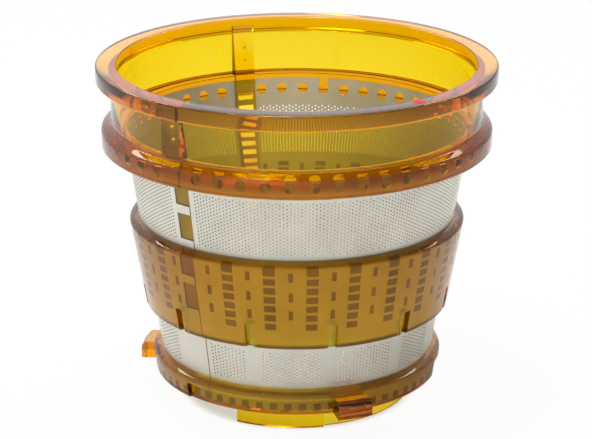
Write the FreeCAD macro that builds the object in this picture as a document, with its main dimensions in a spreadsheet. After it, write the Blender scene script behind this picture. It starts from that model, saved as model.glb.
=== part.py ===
import FreeCAD
import Part
import Sketcher
import os

# A juicer's strainer: one clear amber moulding cast around one rolled and etched steel screen.
# Millimetres, +Z up, the origin on the axis at the foot of the neck, the front along -Y.
# Angles are degrees about the axis, anticlockwise seen from above. Those named _from_rib
# start at the first inner rib, which stands at first_rib_angle from +X.

ORIGIN = FreeCAD.Vector(0, 0, 0)
SKETCH_UPRIGHT = FreeCAD.Vector(0, 1, 0)
FULL_TURN = 360

DRIVING = {
    # Conical screen sheet, which the moulding is cast around
    "overall_height": "107",
    "sheet_top_radius": "53.6",
    "sheet_bottom_radius": "41.9",
    "sheet_thickness": "0.4",
    "sheet_head_drop": "0.4",
    "sheet_edge_cover": "1.7",
    "sheet_foot_cover": "0.9",
    "seam_gap_angle": "0.4",
    "seam_from_rib": "3",
    # Rim and clear upper wall
    "rim_overhang": "4.5",
    "rim_depth": "4.8",
    "rim_rounding": "0.6",
    "wall_seat": "2",
    "wall_thickness": "1.9",
    # Second ring, which seats on the bowl
    "flange_drop": "18.1",
    "flange_slope_height": "1.6",
    "flange_side_height": "5.7",
    "flange_overhang": "3.1",
    "flange_rounding": "1.4",
    "sleeve_thickness": "1.7",
    "sleeve_reach": "2.2",
    # Openings etched in the sheet, which the moulding fills
    "pattern_from_rib": "1.4",
    "anchor_drop": "3.4",
    "anchor_diameter": "3.4",
    "anchor_pitch_angle": "7.5",
    "notch_from_rib": "211.4",
    "notch_angle": "3.2",
    "rib_window_drop": "5.4",
    "rib_window_rise": "14",
    "rib_window_height": "2.2",
    "rib_window_angle": "5.6",
    "seam_window_drop": "5.6",
    "seam_window_rise": "31.8",
    "seam_window_gap": "2.8",
    "seam_window_angle": "6.2",
    # Middle band
    "band_top": "59.2",
    "band_slope_height": "1.6",
    "band_top_wall": "3.26",
    "band_bottom": "30.2",
    "band_bottom_wall": "2.55",
    "band_rounding": "0.8",
    "band_notch_from_rib": "23.9",
    "band_notch_angle": "3.2",
    "band_notch_height": "7.8",
    "band_notch_web": "0.8",
    # Base ring, its bayonet lugs and reliefs
    "base_height": "8.2",
    "base_foot_wall": "2.9",
    "bead_drop": "1.3",
    "bead_height": "1.7",
    "bead_wall": "3.7",
    "relief_wall": "1.7",
    "relief_from_rib": "31",
    "relief_angle": "76",
    "liner_thickness": "1.2",
    "liner_height": "2.9",
    "liner_slope_height": "1.4",
    "floor_thickness": "2.2",
    "lug_reach": "5.2",
    "lug_height": "5.5",
    "lug_from_rib": "62",
    "lug_angle": "12.6",
    "lug_rounding": "2",
    # Neck under the floor
    "neck_height": "7.5",
    "neck_radius": "36",
    "neck_wall": "1.5",
    "neck_pad_thickness": "1",
    "neck_pad_from_rib": "32.5",
    "neck_pad_angle": "43",
    "neck_gap_from_rib": "338.5",
    "neck_gap_angle": "65",
    # Inner ribs
    "first_rib_angle": "229",
    "rib_angle": "7.2",
    "rib_depth": "1.2",
    "rib_head_depth": "0.9",
    "rib_top_gap": "2",
    # Red alignment dot, let into the rim
    "mark_diameter": "4",
    "mark_depth": "0.3",
    "mark_offset": "1.1",
    "mark_from_rib": "78.2",
    # Cutters reach this far past what they cut
    "cut_margin": "2",
}

# How often each opening, lug or rib repeats
ANCHORS_PER_THIRD = 15
RIB_WINDOWS = 16
SEAM_WINDOWS = 4
THIRDS = 3
PLAIN_RIBS = 2
BAND_NOTCHES = 12


def sheet_outside(height):
    """Formula for the radius of the sheet's outer face at a named height."""
    return "sheet_bottom_radius + sheet_slope * (%s - sheet_bottom)" % height


def sheet_inside(height):
    """Formula for the radius of the sheet's inner face at a named height."""
    return "sheet_bottom_inner + sheet_slope * (%s - sheet_bottom)" % height


DERIVED = {
    # Heights, down from the rim and up from the neck's foot
    "rim_underside": "overall_height - rim_depth",
    "flange_top": "overall_height - flange_drop",
    "flange_shoulder": "flange_top - flange_slope_height",
    "flange_bottom": "flange_shoulder - flange_side_height",
    "sleeve_bottom": "flange_bottom - sleeve_reach",
    "sheet_top": "flange_shoulder - sheet_head_drop",
    "seat_height": "sheet_top + sheet_edge_cover",
    "band_shoulder": "band_top - band_slope_height",
    "band_notch_top": "band_bottom + band_notch_height",
    "neck_bottom": "0",
    "base_bottom": "neck_bottom + neck_height",
    "base_top": "base_bottom + base_height",
    "bead_top": "base_top - bead_drop",
    "bead_bottom": "bead_top - bead_height",
    "floor_top": "base_bottom + floor_thickness",
    "floor_core": "base_bottom + floor_thickness / 2",
    "liner_shoulder": "floor_top + liner_height",
    "liner_top": "liner_shoulder + liner_slope_height",
    "lug_top": "base_bottom + lug_height",
    "sheet_bottom": "base_bottom + sheet_foot_cover",
    "rib_head": "overall_height - rib_top_gap",
    "anchor_height": "sheet_top - anchor_drop",
    "anchor_edge": "anchor_height + anchor_diameter / 2",
    "anchor_low_edge": "anchor_height - anchor_diameter / 2",
    "mark_floor": "overall_height - mark_depth",
    # Radii, from the sheet's two faces outwards and inwards
    "sheet_slope": "(sheet_top_radius - sheet_bottom_radius) / (sheet_top - sheet_bottom)",
    "sheet_bottom_inner": "sheet_bottom_radius - sheet_thickness",
    "sheet_top_inner": "sheet_top_radius - sheet_thickness",
    "wall_inner": "sheet_top_radius + wall_seat",
    "wall_radius": "wall_inner + wall_thickness",
    "wall_core": "wall_radius - wall_thickness / 2",
    "rim_radius": "wall_radius + rim_overhang",
    "flange_radius": "wall_radius + flange_overhang",
    "sleeve_inner": sheet_inside("sleeve_bottom"),
    "sleeve_foot": sheet_outside("sleeve_bottom") + " + sleeve_thickness",
    "sleeve_head": sheet_outside("flange_bottom") + " + sleeve_thickness",
    "band_top_inner": sheet_inside("band_top"),
    "band_top_outer": sheet_outside("band_top"),
    "band_top_radius": sheet_outside("band_shoulder") + " + band_top_wall",
    "band_bottom_inner": sheet_inside("band_bottom"),
    "band_bottom_radius": sheet_outside("band_bottom") + " + band_bottom_wall",
    "base_top_inner": sheet_inside("base_top"),
    "base_top_outer": sheet_outside("base_top"),
    "base_foot_radius": "sheet_bottom_radius + base_foot_wall",
    "bead_radius": "sheet_bottom_radius + bead_wall",
    "relief_radius": "sheet_bottom_radius + relief_wall",
    "liner_top_radius": sheet_inside("liner_top"),
    "liner_radius": "sheet_bottom_inner - liner_thickness",
    "lug_root": "(relief_radius + sheet_bottom_radius) / 2",
    "lug_radius": "base_foot_radius + lug_reach",
    "neck_inner": "neck_radius - neck_wall",
    "neck_pad_radius": "neck_radius + neck_pad_thickness",
    "rib_foot_inner": sheet_inside("floor_core") + " - rib_depth",
    "rib_foot_outer": sheet_outside("floor_core"),
    "rib_bend_inner": "sheet_top_inner - rib_depth",
    "rib_head_inner": "wall_inner - rib_head_depth",
    "mark_radius": "mark_diameter / 2",
    "mark_circle_radius": "wall_radius + mark_offset",
    # How far the cutters reach
    "anchor_near": sheet_inside("anchor_low_edge") + " - cut_margin",
    "sheet_near": "sheet_bottom_inner - cut_margin",
    "sheet_far": "sheet_top_radius + cut_margin",
    "edge_far": "sheet_top + cut_margin",
    "band_notch_foot": "band_bottom - cut_margin",
    "band_far": "band_top_radius + cut_margin",
    "notch_foot_near": sheet_outside("band_notch_foot") + " + band_notch_web",
    "notch_head_near": sheet_outside("band_notch_top") + " + band_notch_web",
    "relief_foot": "base_bottom - cut_margin",
    "relief_far": "bead_radius + cut_margin",
    "neck_near": "neck_inner - cut_margin",
    "neck_far": "neck_pad_radius + cut_margin",
    "neck_foot": "neck_bottom - cut_margin",
    # Angles about the axis
    "rib_spacing": "%d / %d" % (FULL_TURN, THIRDS),
    "second_rib_turn": "first_rib_angle + rib_spacing",
    "seam_turn": "first_rib_angle + seam_from_rib",
    "anchor_turn": "first_rib_angle + pattern_from_rib + anchor_pitch_angle",
    "anchor_span": "anchor_pitch_angle * (%d - 1)" % ANCHORS_PER_THIRD,
    "notch_turn": "first_rib_angle + notch_from_rib",
    "band_notch_turn": "first_rib_angle + band_notch_from_rib",
    "relief_turn": "first_rib_angle + relief_from_rib",
    "lug_turn": "first_rib_angle + lug_from_rib",
    "neck_pad_turn": "first_rib_angle + neck_pad_from_rib",
    "neck_gap_turn": "first_rib_angle + neck_gap_from_rib",
    "mark_turn": "first_rib_angle + mark_from_rib",
    # Columns of windows, spread between the sheet's head and the base
    "rib_window_top": "sheet_top - rib_window_drop",
    "rib_window_low": "base_bottom + rib_window_rise",
    "rib_window_pitch": "(rib_window_top - rib_window_low) / (%d - 1)" % RIB_WINDOWS,
    "seam_window_top": "sheet_top - seam_window_drop",
    "seam_window_low": "base_bottom + seam_window_rise",
    "seam_window_run": "seam_window_top - seam_window_low + seam_window_gap",
    "seam_window_pitch": "seam_window_run / %d" % SEAM_WINDOWS,
    "seam_window_height": "seam_window_pitch - seam_window_gap",
}
for row in range(RIB_WINDOWS):
    middle = "rib_window_top - %d * rib_window_pitch" % row
    DERIVED["pane_foot_%d" % row] = middle + " - rib_window_height / 2"
    DERIVED["pane_head_%d" % row] = middle + " + rib_window_height / 2"
for row in range(SEAM_WINDOWS):
    head = "seam_window_top - %d * seam_window_pitch" % row
    DERIVED["seam_pane_head_%d" % row] = head
    DERIVED["seam_pane_foot_%d" % row] = head + " - seam_window_height"

doc = FreeCAD.newDocument("juicer_strainer")


def fill_sheet():
    """The driving dimensions as plain numbers, and beside them what follows from them."""
    sheet = doc.addObject("Spreadsheet::Sheet", "dims")
    for row, (alias, number) in enumerate(DRIVING.items(), start=1):
        sheet.set("A%d" % row, alias)
        sheet.set("B%d" % row, number)
        sheet.setAlias("B%d" % row, alias)
    for row, (alias, formula) in enumerate(DERIVED.items(), start=1):
        sheet.set("D%d" % row, alias)
        sheet.set("E%d" % row, "=" + formula)
        sheet.setAlias("E%d" % row, alias)
    doc.recompute()
    return sheet


dims = fill_sheet()


def new_body(name):
    body = doc.addObject("PartDesign::Body", name)
    body.AllowCompound = True
    return body


def origin_feature(body, role):
    return next(feature for feature in body.Origin.OriginFeatures if feature.Role == role)


def upright_sketch(body, name, plane, turn=None):
    """A sketch on an upright plane through the axis, turned about the axis by a named angle."""
    sketch = body.newObject("Sketcher::SketchObject", name)
    sketch.AttachmentSupport = [(origin_feature(body, plane), "")]
    sketch.MapMode = "FlatFace"
    if turn is not None:
        start = FreeCAD.Rotation(SKETCH_UPRIGHT, dims.get(turn))
        sketch.AttachmentOffset = FreeCAD.Placement(ORIGIN, start)
        sketch.setExpression("AttachmentOffset.Rotation.Angle", "dims.%s" % turn)
    return sketch


def pin(sketch, kind, geometry, point, alias):
    """Holds one point at a named distance from the origin, across or up."""
    index = sketch.addConstraint(
        Sketcher.Constraint("Distance" + kind, -1, 1, geometry, point, dims.get(alias))
    )
    label = "%s_%d_%d" % (kind.lower(), geometry, point)
    sketch.renameConstraint(index, label)
    sketch.setExpression("Constraints." + label, "dims." + alias)


def outline(sketch, corners):
    """A closed outline of straight lines. Each corner is a named radius and a named height."""
    first = sketch.GeometryCount
    places = [FreeCAD.Vector(dims.get(across), dims.get(up), 0) for across, up in corners]
    for start, end in zip(places, places[1:] + places[:1]):
        sketch.addGeometry(Part.LineSegment(start, end))
    for step, (across, up) in enumerate(corners):
        following = first + (step + 1) % len(corners)
        sketch.addConstraint(Sketcher.Constraint("Coincident", first + step, 2, following, 1))
        pin(sketch, "X", first + step, 1, across)
        pin(sketch, "Y", first + step, 1, up)


def turned_piece(body, name, outlines, turn=None, sweep=None, cut=False):
    """Outlines swept about the axis: all the way round, or a named angle with the sketch at its middle."""
    sketch = upright_sketch(body, name + "_outline", "XZ_Plane", turn)
    for corners in outlines:
        outline(sketch, corners)
    kind = "PartDesign::Groove" if cut else "PartDesign::Revolution"
    feature = body.newObject(kind, name)
    feature.Profile = sketch
    feature.ReferenceAxis = (sketch, ["V_Axis"])
    feature.Refine = False
    if sweep is not None:
        feature.Midplane = True
        feature.setExpression("Angle", "dims.%s" % sweep)
    return feature


def polar_pattern(body, name, count, span=None):
    """Copies about the axis, spread all the way round or over a named angle."""
    pattern = body.newObject("PartDesign::PolarPattern", name)
    pattern.Axis = (origin_feature(body, "Z_Axis"), [""])
    pattern.Occurrences = count
    pattern.Angle = FULL_TURN
    pattern.Refine = False
    if span is not None:
        pattern.setExpression("Angle", "dims.%s" % span)
    return pattern


def repeat(body, feature, name, count):
    pattern = polar_pattern(body, name, count)
    pattern.Originals = [feature]
    body.Tip = pattern


def repeat_in_thirds(body, feature, name, count, span):
    """A row of copies over a named angle, and that row in each third of the turn."""
    both = body.newObject("PartDesign::MultiTransform", name)
    both.Originals = [feature]
    both.Refine = False
    row = polar_pattern(body, name + "_row", count, span)
    thirds = polar_pattern(body, name + "_thirds", THIRDS)
    both.Transformations = [row, thirds]
    body.Tip = both


def round_edges(body, name, rings, rounding):
    """Rounds the circular edges that lie at the given named radii and heights."""
    doc.recompute()
    base = body.Tip
    wanted = [(dims.get(across), dims.get(up)) for across, up in rings]
    picked = []
    for number, edge in enumerate(base.Shape.Edges, start=1):
        if not isinstance(edge.Curve, Part.Circle):
            continue
        place = (edge.Curve.Radius, edge.Curve.Center.z)
        if any(abs(place[0] - r) + abs(place[1] - z) < 1e-4 for r, z in wanted):
            picked.append("Edge%d" % number)
    fillet = body.newObject("PartDesign::Fillet", name)
    fillet.Base = (base, picked)
    fillet.Refine = False
    fillet.setExpression("Radius", "dims.%s" % rounding)


def make_collar():
    """Rim, clear wall, second ring, and the sleeve around the head of the sheet."""
    body = new_body("collar")
    turned_piece(body, "collar_ring", [[
        ("wall_inner", "overall_height"),
        ("rim_radius", "overall_height"),
        ("rim_radius", "rim_underside"),
        ("wall_radius", "rim_underside"),
        ("wall_radius", "flange_top"),
        ("flange_radius", "flange_shoulder"),
        ("flange_radius", "flange_bottom"),
        ("sleeve_head", "flange_bottom"),
        ("sleeve_foot", "sleeve_bottom"),
        ("sleeve_inner", "sleeve_bottom"),
        ("sheet_top_inner", "sheet_top"),
        ("sheet_top_inner", "seat_height"),
        ("wall_inner", "seat_height"),
    ]])
    rim_edges = [
        ("wall_inner", "overall_height"),
        ("rim_radius", "overall_height"),
        ("rim_radius", "rim_underside"),
        ("wall_radius", "rim_underside"),
        ("flange_radius", "flange_bottom"),
    ]
    round_edges(body, "rim_edges", rim_edges, "rim_rounding")
    flange_edges = [("wall_radius", "flange_top"), ("flange_radius", "flange_shoulder")]
    round_edges(body, "flange_edges", flange_edges, "flange_rounding")
    return body


def make_band():
    """Middle band, cast on the outside of the sheet, with notches where the mould held the sheet."""
    body = new_body("band")
    turned_piece(body, "band_ring", [[
        ("band_top_inner", "band_top"),
        ("band_top_outer", "band_top"),
        ("band_top_radius", "band_shoulder"),
        ("band_bottom_radius", "band_bottom"),
        ("band_bottom_inner", "band_bottom"),
    ]])
    band_edges = [("band_top_radius", "band_shoulder"), ("band_bottom_radius", "band_bottom")]
    round_edges(body, "band_edges", band_edges, "band_rounding")
    notch = turned_piece(body, "band_notch", [[
        ("notch_foot_near", "band_notch_foot"),
        ("band_far", "band_notch_foot"),
        ("band_far", "band_notch_top"),
        ("notch_head_near", "band_notch_top"),
    ]], "band_notch_turn", "band_notch_angle", cut=True)
    repeat(body, notch, "band_notches", BAND_NOTCHES)
    return body


def make_base():
    """Base ring with its bead, floor and neck, the bayonet reliefs and lugs, and the outlet gap."""
    body = new_body("base")
    turned_piece(body, "base_ring", [[
        ("base_top_inner", "base_top"),
        ("base_top_outer", "base_top"),
        ("bead_radius", "bead_top"),
        ("bead_radius", "bead_bottom"),
        ("base_foot_radius", "base_bottom"),
        ("neck_radius", "base_bottom"),
        ("neck_radius", "neck_bottom"),
        ("neck_inner", "neck_bottom"),
        ("neck_inner", "floor_top"),
        ("liner_radius", "floor_top"),
        ("liner_radius", "liner_shoulder"),
        ("liner_top_radius", "liner_top"),
    ]])
    base_edges = [("bead_radius", "bead_top"), ("base_foot_radius", "base_bottom")]
    round_edges(body, "base_edges", base_edges, "rim_rounding")
    relief = turned_piece(body, "relief", [[
        ("relief_radius", "relief_foot"),
        ("relief_far", "relief_foot"),
        ("relief_far", "bead_bottom"),
        ("relief_radius", "bead_bottom"),
    ]], "relief_turn", "relief_angle", cut=True)
    repeat(body, relief, "reliefs", THIRDS)
    lug = turned_piece(body, "lug", [[
        ("lug_root", "base_bottom"),
        ("lug_radius", "base_bottom"),
        ("lug_radius", "lug_top"),
        ("lug_root", "lug_top"),
    ]], "lug_turn", "lug_angle")
    repeat(body, lug, "lugs", THIRDS)
    round_edges(body, "lug_edges", [("lug_radius", "lug_top")], "lug_rounding")
    turned_piece(body, "neck_pad", [[
        ("neck_inner", "neck_bottom"),
        ("neck_pad_radius", "neck_bottom"),
        ("neck_pad_radius", "floor_core"),
        ("neck_inner", "floor_core"),
    ]], "neck_pad_turn", "neck_pad_angle")
    turned_piece(body, "neck_gap", [[
        ("neck_near", "neck_foot"),
        ("neck_far", "neck_foot"),
        ("neck_far", "base_bottom"),
        ("neck_near", "base_bottom"),
    ]], "neck_gap_turn", "neck_gap_angle", cut=True)
    return body


def make_ribs():
    """Inner ribs from the floor to the rim, which tie the three rings together."""
    body = new_body("ribs")
    rib = turned_piece(body, "rib", [[
        ("rib_foot_inner", "floor_core"),
        ("rib_bend_inner", "sheet_top"),
        ("rib_head_inner", "rib_head"),
        ("wall_core", "rib_head"),
        ("wall_core", "sheet_top"),
        ("sheet_top_radius", "sheet_top"),
        ("rib_foot_outer", "floor_core"),
    ]], "first_rib_angle", "rib_angle")
    repeat(body, rib, "rib_set", THIRDS)
    return body


def window_stack(foot, head, count):
    """Outlines of one column of windows, each reaching through the sheet at any height."""
    stack = []
    for row in range(count):
        low = foot % row
        high = head % row
        stack.append([
            ("sheet_near", low),
            ("sheet_far", low),
            ("sheet_far", high),
            ("sheet_near", high),
        ])
    return stack


def make_screen():
    """Rolled conical sheet with its seam gap and the openings that the moulding locks into."""
    body = new_body("mesh_screen")
    turned_piece(body, "rolled_sheet", [[
        ("sheet_bottom_inner", "sheet_bottom"),
        ("sheet_bottom_radius", "sheet_bottom"),
        ("sheet_top_radius", "sheet_top"),
        ("sheet_top_inner", "sheet_top"),
    ]])
    turned_piece(body, "seam_gap", [[
        ("sheet_near", "neck_foot"),
        ("sheet_far", "neck_foot"),
        ("sheet_far", "edge_far"),
        ("sheet_near", "edge_far"),
    ]], "seam_turn", "seam_gap_angle", cut=True)
    repeat_in_thirds(body, anchor_hole(body), "anchors", ANCHORS_PER_THIRD, "anchor_span")
    panes = window_stack("pane_foot_%d", "pane_head_%d", RIB_WINDOWS)
    pane = turned_piece(body, "rib_window", panes, "second_rib_turn", "rib_window_angle", cut=True)
    pattern = polar_pattern(body, "rib_windows", PLAIN_RIBS, "rib_spacing")
    pattern.Originals = [pane]
    body.Tip = pattern
    seam_panes = window_stack("seam_pane_foot_%d", "seam_pane_head_%d", SEAM_WINDOWS)
    turned_piece(body, "seam_window", seam_panes, "first_rib_angle", "seam_window_angle", cut=True)
    turned_piece(body, "edge_notch", [[
        ("sheet_near", "anchor_height"),
        ("sheet_far", "anchor_height"),
        ("sheet_far", "edge_far"),
        ("sheet_near", "edge_far"),
    ]], "notch_turn", "notch_angle", cut=True)
    return body


def anchor_hole(body):
    """One round hole near the head of the sheet: a strip turned about the hole's own axis."""
    sketch = upright_sketch(body, "anchor_strip", "XZ_Plane", "anchor_turn")
    outline(sketch, [
        ("anchor_near", "anchor_height"),
        ("sheet_far", "anchor_height"),
        ("sheet_far", "anchor_edge"),
        ("anchor_near", "anchor_edge"),
    ])
    near = FreeCAD.Vector(dims.get("anchor_near"), dims.get("anchor_height"), 0)
    far = FreeCAD.Vector(dims.get("sheet_far"), dims.get("anchor_height"), 0)
    axis = sketch.addGeometry(Part.LineSegment(near, far), True)
    sketch.addConstraint(Sketcher.Constraint("Coincident", axis, 1, 0, 1))
    sketch.addConstraint(Sketcher.Constraint("Coincident", axis, 2, 0, 2))
    hole = body.newObject("PartDesign::Groove", "anchor")
    hole.Profile = sketch
    hole.ReferenceAxis = (sketch, ["Axis0"])
    hole.Refine = False
    return hole


def make_mark():
    """Red dot, flush in its pocket in the rim's flat top."""
    mark = doc.addObject("Part::Cylinder", "alignment_mark")
    mark.setExpression("Radius", "dims.mark_radius")
    mark.setExpression("Height", "dims.mark_depth")
    mark.setExpression("Placement.Base.x", "dims.mark_circle_radius * cos(dims.mark_turn * 1 deg)")
    mark.setExpression("Placement.Base.y", "dims.mark_circle_radius * sin(dims.mark_turn * 1 deg)")
    mark.setExpression("Placement.Base.z", "dims.mark_floor")
    return mark


def cut_away(name, base, tool):
    result = doc.addObject("Part::Cut", name)
    result.Base = base
    result.Tool = tool
    result.Refine = False
    return result


def make_frame(screen, mark):
    """The rings and ribs as one moulding, with the dot's pocket and the room that the sheet takes."""
    moulding = doc.addObject("Part::MultiFuse", "moulding")
    moulding.Shapes = [make_collar(), make_band(), make_base(), make_ribs()]
    moulding.Refine = False
    dotted = cut_away("dotted_moulding", moulding, mark)
    return cut_away("strainer_frame", dotted, screen)


screen = make_screen()
mark = make_mark()
frame = make_frame(screen, mark)
doc.recompute()

for item in doc.Objects:
    if "Invalid" in item.State or "Error" in item.State:
        raise RuntimeError("%s did not build" % item.Name)
pieces = [frame, screen, mark]
for piece in pieces:
    piece.Label = piece.Name
    if piece.Shape.isNull() or not piece.Shape.isValid() or len(piece.Shape.Solids) != 1:
        raise RuntimeError("%s is not one sound solid" % piece.Label)

os.makedirs("parts", exist_ok=True)
for piece in pieces:
    piece.Shape.exportStep("parts/%s.step" % piece.Label)
    print("%s: %.1f cubic mm" % (piece.Label, piece.Shape.Volume))
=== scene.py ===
# %% [markdown]
# A juicer's strainer: clear amber plastic moulded around a steel screen.
# The strainer's solids are measured and packed already, and they are loaded here as a fixed frame.
# This lesson makes the surfaces finer than the solids have them, gives each piece its finish, and sets
# up the light and the camera. Everything is in metres. +Z is up, the origin is on the strainer's axis
# at the foot of its neck, and the front of the photograph faces -Y.

# %% Load the measured frame
import math

import bmesh
import bpy
from mathutils import Matrix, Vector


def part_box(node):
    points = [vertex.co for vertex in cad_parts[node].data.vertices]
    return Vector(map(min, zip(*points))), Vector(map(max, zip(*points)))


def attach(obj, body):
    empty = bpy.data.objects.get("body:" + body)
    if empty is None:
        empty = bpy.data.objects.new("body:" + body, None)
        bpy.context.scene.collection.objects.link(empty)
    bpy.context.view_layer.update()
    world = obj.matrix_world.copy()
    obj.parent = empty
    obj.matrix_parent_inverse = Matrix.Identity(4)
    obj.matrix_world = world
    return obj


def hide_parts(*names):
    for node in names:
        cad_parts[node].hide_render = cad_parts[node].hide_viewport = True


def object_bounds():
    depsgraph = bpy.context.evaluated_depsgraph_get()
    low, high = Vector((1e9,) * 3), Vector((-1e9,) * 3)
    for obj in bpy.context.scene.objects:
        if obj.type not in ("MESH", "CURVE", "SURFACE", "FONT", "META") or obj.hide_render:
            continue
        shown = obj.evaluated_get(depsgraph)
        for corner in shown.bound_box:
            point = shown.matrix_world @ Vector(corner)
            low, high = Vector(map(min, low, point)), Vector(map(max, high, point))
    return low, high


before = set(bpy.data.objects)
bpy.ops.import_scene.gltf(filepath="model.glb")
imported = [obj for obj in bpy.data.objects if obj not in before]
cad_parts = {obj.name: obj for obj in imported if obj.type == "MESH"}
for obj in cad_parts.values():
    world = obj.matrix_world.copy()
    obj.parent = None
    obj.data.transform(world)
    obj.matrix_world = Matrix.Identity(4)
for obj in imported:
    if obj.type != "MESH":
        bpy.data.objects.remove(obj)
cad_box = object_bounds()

print("nodes in the frame:", sorted(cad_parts))

# %% [markdown]
# Sizes that the frame gives.
# A turned part is known by its radii and heights. The frame's own meshes give the ones that everything
# else hangs on: how far the rim reaches, how tall the part is, and where the rolled sheet starts and
# ends. A mesh's corners lie on the true circle even where its flats cut inside it, so the largest
# distance from the axis is exact, and these sizes need not be written again.

# %% Measure the rim and the rolled sheet
MM = 0.001
CLOSE = 0.01 * MM


def reach(node, top=math.inf):
    """Largest distance from the axis among a node's corners that lie no higher than top."""
    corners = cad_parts[node].data.vertices
    return max(corner.co.xy.length for corner in corners if corner.co.z <= top)


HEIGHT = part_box("strainer_frame")[1].z
RIM_RADIUS = reach("strainer_frame")
SHEET_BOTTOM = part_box("mesh_screen")[0].z
SHEET_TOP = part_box("mesh_screen")[1].z
SHEET_TOP_RADIUS = reach("mesh_screen")
SHEET_BOTTOM_RADIUS = reach("mesh_screen", SHEET_BOTTOM + CLOSE)
SHEET_THICKNESS = 0.4 * MM


def sheet_outside(height):
    """Radius of the sheet's outer face at a height."""
    share = (height - SHEET_BOTTOM) / (SHEET_TOP - SHEET_BOTTOM)
    return SHEET_BOTTOM_RADIUS + share * (SHEET_TOP_RADIUS - SHEET_BOTTOM_RADIUS)


def sheet_inside(height):
    """Radius of the sheet's inner face at a height."""
    return sheet_outside(height) - SHEET_THICKNESS


print("rim radius %.2f mm, height %.2f mm" % (RIM_RADIUS / MM, HEIGHT / MM))
print("sheet from %.2f to %.2f mm up" % (SHEET_BOTTOM / MM, SHEET_TOP / MM))

# %% [markdown]
# Turning a section.
# Rim, rings, band and neck are all round about one axis, as a lathe leaves them, so each is one outline
# turned about that axis. A subdivision cage would need extra loops to keep the crisp steps, and a
# cylinder with cuts would leave flat facets that a clear material shows at once. So a few corner points
# make an outline, a bevel rounds the corners that the mould rounds, and a spin with many steps turns it.
# A spin over less than a turn, with its two open ends filled, makes lugs, ribs and cutters in the same
# way.

# %% Helpers that turn an outline
TURN_STEPS = 288
ROUND_STEPS = 5
AXIS = (0, 0, 1)
CENTRE = (0, 0, 0)
WELD = 0.0001 * MM


def outline(corners):
    """A closed outline in the XZ plane. A corner is a radius, a height and the reach of its rounding."""
    section = bmesh.new()
    points = [section.verts.new((radius, 0, height)) for radius, height, _ in corners]
    section.faces.new(points)
    for point, (_, _, rounding) in zip(points, corners):
        if rounding:
            bmesh.ops.bevel(section, geom=[point], offset=rounding, offset_type="OFFSET",
                            affect="VERTICES", segments=ROUND_STEPS, profile=0.5, material=-1)
    bmesh.ops.delete(section, geom=section.faces[:], context="FACES_ONLY")
    return section


def everything(shape):
    """All that a spin has to turn."""
    return shape.verts[:] + shape.edges[:] + shape.faces[:]


def finished(shape, name):
    """Welds a shape, turns its faces outwards and puts it in the scene."""
    bmesh.ops.remove_doubles(shape, verts=shape.verts[:], dist=WELD)
    bmesh.ops.recalc_face_normals(shape, faces=shape.faces[:])
    mesh = bpy.data.meshes.new(name)
    shape.to_mesh(mesh)
    shape.free()
    piece = bpy.data.objects.new(name, mesh)
    bpy.context.scene.collection.objects.link(piece)
    return piece


def turned_ring(name, corners):
    """An outline turned all the way round."""
    shape = outline(corners)
    bmesh.ops.spin(shape, geom=everything(shape), cent=CENTRE, axis=AXIS, angle=math.tau,
                   steps=TURN_STEPS, use_merge=True)
    return finished(shape, name)


print("flats leave the rim's circle by %.4f mm" % (RIM_RADIUS / MM * (1 - math.cos(math.pi / TURN_STEPS))))

# %% Helpers that turn arcs, and join or cut with them
FEWEST_STEPS = 2


def add_shape(target, part, place=Matrix()):
    """Adds a copy of a part to a shape, moved to its place."""
    carrier = bpy.data.meshes.new("carrier")
    part.to_mesh(carrier)
    carrier.transform(place)
    target.from_mesh(carrier)
    bpy.data.meshes.remove(carrier)


def add_arc(shape, corners, middle, sweep):
    """Adds an outline turned over part of a circle, closed at both ends, to a shape."""
    arc = outline(corners)
    start = Matrix.Rotation(middle - sweep / 2, 3, "Z")
    bmesh.ops.rotate(arc, verts=arc.verts[:], cent=CENTRE, matrix=start)
    bmesh.ops.spin(arc, geom=everything(arc), cent=CENTRE, axis=AXIS, angle=sweep,
                   steps=max(FEWEST_STEPS, round(TURN_STEPS * sweep / math.tau)))
    bmesh.ops.holes_fill(arc, edges=arc.edges[:])
    bmesh.ops.recalc_face_normals(arc, faces=arc.faces[:])
    add_shape(shape, arc)
    arc.free()


def turned_arcs(name, corners, middles, sweep):
    """One closed arc of the same outline at each of the given angles."""
    shape = bmesh.new()
    for middle in middles:
        add_arc(shape, corners, middle, sweep)
    return finished(shape, name)


def block(inner, outer, low, high):
    """Corners of a plain rectangular outline."""
    return [(inner, low, 0), (outer, low, 0), (outer, high, 0), (inner, high, 0)]


def combine(target, operation, *tools):
    """Joins solids to a piece, or cuts them out of it, and removes the tools."""
    for tool in tools:
        change = target.modifiers.new(tool.name, "BOOLEAN")
        change.operation = operation
        change.solver = "MANIFOLD"
        change.object = tool
    shape = target.evaluated_get(bpy.context.evaluated_depsgraph_get())
    result = bpy.data.meshes.new_from_object(shape)
    target.modifiers.clear()
    target.data = result
    for tool in tools:
        bpy.data.objects.remove(tool)
    print(target.name, "now has", len(result.polygons), "faces")


# %% [markdown]
# Angles.
# The lugs, ribs and openings stand at fixed angles from the rib that carries the sheet's seam, which is
# left of the front. They could be counted from +X, but then all of them would change if the strainer
# were turned. So all angles are counted from that rib, in degrees, anticlockwise from above.

# %% Angles counted from the seam rib
FIRST_RIB = math.radians(229)
FULL_TURN = 360
THIRDS = 3


def from_rib(degrees):
    """An angle from the seam rib, as an angle from +X in radians."""
    return FIRST_RIB + math.radians(degrees)


def all_round(first, count):
    """Angles at even steps all the way round, the first one counted from the seam rib."""
    return [from_rib(first + FULL_TURN * step / count) for step in range(count)]


def between_ribs(angles):
    """Leaves out the first of every third, which falls on a rib."""
    return [angle for step, angle in enumerate(angles) if step % (len(angles) // THIRDS)]


RIBS = all_round(0, THIRDS)
print("ribs at", [round(math.degrees(rib) % FULL_TURN) for rib in RIBS], "degrees from +X")

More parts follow.
